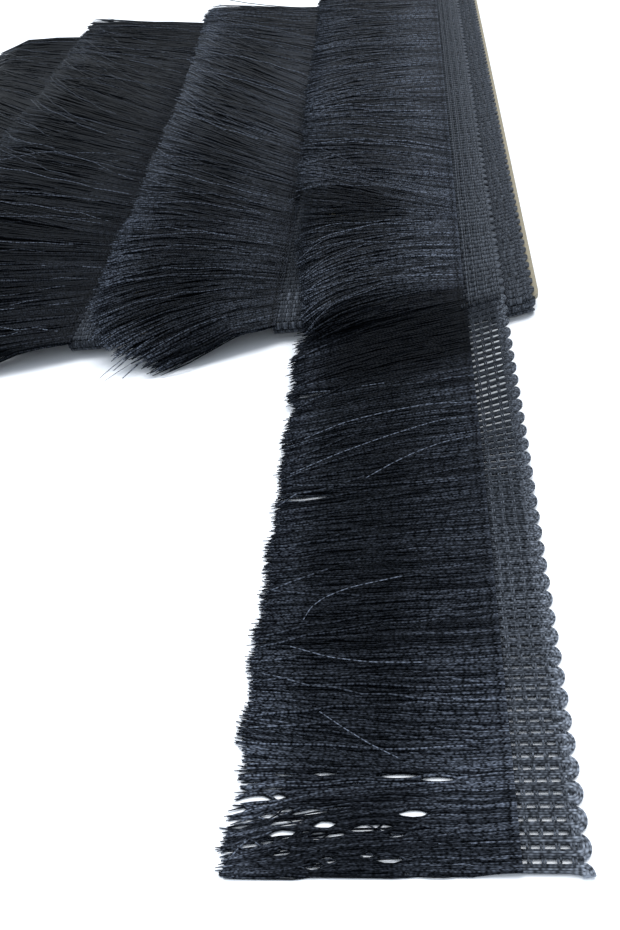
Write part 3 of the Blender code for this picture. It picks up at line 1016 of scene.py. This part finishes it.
# Painted light on the last turn's threads, with painted shade in the hollow and where the tuft
# covers them
def last_glow(y, share):
    hollow = np.exp(-((y - HOLLOW_AT) / HOLLOW_REACH) ** 2)
    hollow = hollow * smooth((share - HOLLOW_START) / HOLLOW_RUN)
    shade_patchy = 1.0 - SHADE_PATCHES + SHADE_PATCHES * np.sin(y * SHADE_PATCH_RATE)
    covered = 1.0 - smooth((y - COVERED_END) / COVERED_RUN)
    lit = read(LAST_GLOW, share) * (1.0 - HOLLOW_SHADE * hollow * shade_patchy)
    return lit * (1.0 - COVERED_SHADE * covered)


def turn_glow(y, share):
    return read(TURN_GLOW, share) + 0.0 * y


def outer_glow(y, share):
    return read(OUTER_GLOW, share) + 0.0 * y


def hair_glow(y, share):
    return HAIR_LIGHT + 0.0 * y * share


def top_fringe(name, node, header_x, header_z, zones, sweep, reach_rows, rise, low, hang_run,
               hang_reach, glow, hairs, uneven=1.2):
    """Fringe over the card: it rises by rise towards its tips, and hangs down at the near end.

    zones has rows of near end, far end, threads a millimetre, knots and radius. reach_rows has
    rows of place and reach. low has the heights where it hangs, hang_run is how far along Y it
    does, and hang_reach its reach there. hairs is how many light hairs, painted light for their
    highlights, a millimetre lie on it.
    """
    start = zones[0][0]

    def root_x(y):
        return header_x - HALF_WIDTH + ROOT_INSET + 0.0 * y

    def root_z(y):
        return header_z + 0.0 * y

    def hang(y):
        return 1.0 - smooth((y - start) / hang_run)

    def reach(y):
        whole = read(reach_rows, y)
        return whole + (hang_reach - whole) * hang(y) + ROOT_LENGTH

    def height(y, share):
        up = np.interp(share, TOP_SHARES, (header_z, *(header_z + r for r in rise)))
        down = np.interp(share, TOP_SHARES, (header_z, *low))
        drop = hang(y)
        thick = np.interp(share, TOP_SHARES, TOP_THICK)
        return up + (down - up) * drop, thick / 2 * (1.0 - HANG_THINNER * drop)

    shape = {"root_x": root_x, "root_z": root_z, "sweep": sweep, "reach": reach, "height": height}
    groups = []
    for zone_start, zone_end, per_mm, knots, width in zones:
        groups.append(threads((zone_start, zone_end), per_mm, knots, width=width, uneven=uneven,
                              glow=glow, **shape, **TOP_THREADS))
    groups.append(threads((start + HAIR_START, HAIR_END), hairs, glow=hair_glow, **shape, **HAIRS))
    return keep(tubes(name, groups, YARN), node)


# Half the thickness of the plain fringe
FLAT_HALF = 0.55


def flat_fringe(name, node, x_near, x_far, root_z, tip_z, y_far, per_mm, reach):
    """Plain fringe of a pass that lies beneath the card or the last turn."""
    slope = (x_far - x_near) / (y_far - FRINGE_NEAR)
    group = threads(
        (FRINGE_NEAR, y_far), per_mm, knots=4, width=0.36, wander=1.2, ragged=1.0, sweep=UNSWEPT,
        root_x=lambda y: x_near + slope * (y - FRINGE_NEAR) - HALF_WIDTH + ROOT_INSET,
        root_z=lambda y: root_z + 0.0 * y,
        reach=lambda y: reach + 0.0 * y,
        height=lambda y, share: (root_z + (tip_z - root_z) * share + 0.0 * y,
                                 FLAT_HALF + 0.0 * share))
    return keep(tubes(name, [group], YARN), node)


top_fringe("yarn_top_1", "fringe_top_1", LAST_X, Z_LAST,
           zones=((156.4, 235.0, 20.0, 9, 0.225), (235.0, FRINGE_FAR, 11.5, 7, 0.275)),
           sweep=LAST_SWEEP, reach_rows=LAST_REACH, rise=(1.0, 2.0, 2.6), low=(8.2, 7.2, 6.0),
           hang_run=14.0, hang_reach=39.5, glow=last_glow, hairs=0.35)
top_fringe("yarn_top_2", "fringe_top_2", TURN_X[1], Z_TOP,
           zones=((155.7, 240.0, 18.0, 9, 0.235), (240.0, FRINGE_FAR, 9.5, 7, 0.29)),
           sweep=TURN_SWEEP, reach_rows=TURN_REACH, rise=(1.4, 3.1, 4.4), low=(6.6, 3.4, 1.3),
           hang_run=29.0, hang_reach=31.0, glow=turn_glow, hairs=0.3)
top_fringe("yarn_top_3", "fringe_top_3", TURN_X[2], Z_TOP,
           zones=((155.7, FRINGE_FAR, 8.2, 6, 0.315),),
           sweep=OUTER_SWEEP, reach_rows=THIRD_REACH, rise=(1.4, 3.1, 4.4), low=(6.6, 3.4, 1.3),
           hang_run=7.0, hang_reach=37.0, glow=outer_glow, hairs=0.3)
top_fringe("yarn_top_4", "fringe_top_4", TURN_X[3], Z_TOP,
           zones=((155.7, FRINGE_FAR, 7.2, 5, 0.38),),
           sweep=OUTER_SWEEP, reach_rows=FOURTH_REACH, rise=(1.4, 2.2, -4.4), low=(6.6, 3.4, 1.3),
           hang_run=7.0, hang_reach=37.0, glow=outer_glow, hairs=0.12, uneven=0.5)
flat_fringe("yarn_inner", "fringe_inner", TURN_X[0], TURN_X[0], Z_TOP, Z_TOP,
            y_far=472.0, per_mm=2.0, reach=46.0)

# Passes beneath the card: number, X at the near and the far fold, height at the roots and the tips
UNDER_PASSES = (
    (4, TURN_X[3], TURN_X[2], Z_UNDER, Z_TABLE),
    (3, TURN_X[2], TURN_X[1], Z_UNDER, Z_TABLE),
    (2, TURN_X[1], TURN_X[0], Z_UNDER, Z_UNDER),
    (1, TURN_X[0], LAST_X, Z_TABLE, Z_TABLE),
)
for number, *line in UNDER_PASSES:
    flat_fringe(f"yarn_under_{number}", f"fringe_under_{number}", *line,
                y_far=FRINGE_FAR, per_mm=1.4, reach=44.5)


# ------------------------------------------------------------------ card

for mat_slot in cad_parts["card"].material_slots:
    mat_slot.material = BOARD


# ------------------------------------------------------------------ table, camera and light

TABLE_SIZE = 8.0
TABLE_PLACE = (0.0, 0.0, -0.0001)
TABLE_COLOUR = (0.86, 0.88, 0.92, 1.0)
TABLE_GLOSS = 0.2
SKY_COLOUR = (0.84, 0.92, 1.0, 1.0)
SKY_STRENGTH = 0.95

bpy.ops.mesh.primitive_plane_add(size=TABLE_SIZE, location=TABLE_PLACE)
floor = bpy.context.object
floor.name = "table_top"
floor_mat, _, floor_shader = principled("white_table", roughness=0.9)
floor_shader.inputs["Base Color"].default_value = TABLE_COLOUR
floor_shader.inputs["Specular IOR Level"].default_value = TABLE_GLOSS
floor.data.materials.append(floor_mat)


def add_camera():
    data = bpy.data.cameras.new("camera")
    data.sensor_width = SENSOR
    data.lens = FOCAL_PX / PHOTO_HEIGHT_PX * SENSOR
    camera = bpy.data.objects.new("camera", data)
    bpy.context.scene.collection.objects.link(camera)
    camera.location = (Vector(CORNER) + Vector(CAMERA_AT)) * MM
    camera.rotation_euler = [math.radians(angle) for angle in CAMERA_TURN]
    bpy.context.scene.camera = camera


def add_light(name, place, aim, size, power):
    """An area light. Its place, aim and size are in metres, in the frame."""
    data = bpy.data.lights.new(name, "AREA")
    data.shape = "RECTANGLE"
    data.size, data.size_y = size
    data.energy = power
    lamp = bpy.data.objects.new(name, data)
    lamp.location = place
    lamp.rotation_euler = (Vector(aim) - Vector(place)).to_track_quat("-Z", "Y").to_euler()
    bpy.context.scene.collection.objects.link(lamp)


def add_sky():
    world = bpy.data.worlds.new("studio")
    bpy.context.scene.world = world
    world.use_nodes = True
    background = world.node_tree.nodes["Background"]
    background.inputs["Color"].default_value = SKY_COLOUR
    background.inputs["Strength"].default_value = SKY_STRENGTH


add_camera()
add_light("key_above", place=(0.40, 0.20, 1.5), aim=(0.05, 0.0, 0.0), size=(0.8, 1.5), power=26.0)
add_light("back_fill", place=(0.3, 1.4, 0.9), aim=(0.0, 0.1, 0.0), size=(1.2, 0.8), power=3.0)
add_sky()
bpy.context.scene.view_settings.view_transform = "Standard"

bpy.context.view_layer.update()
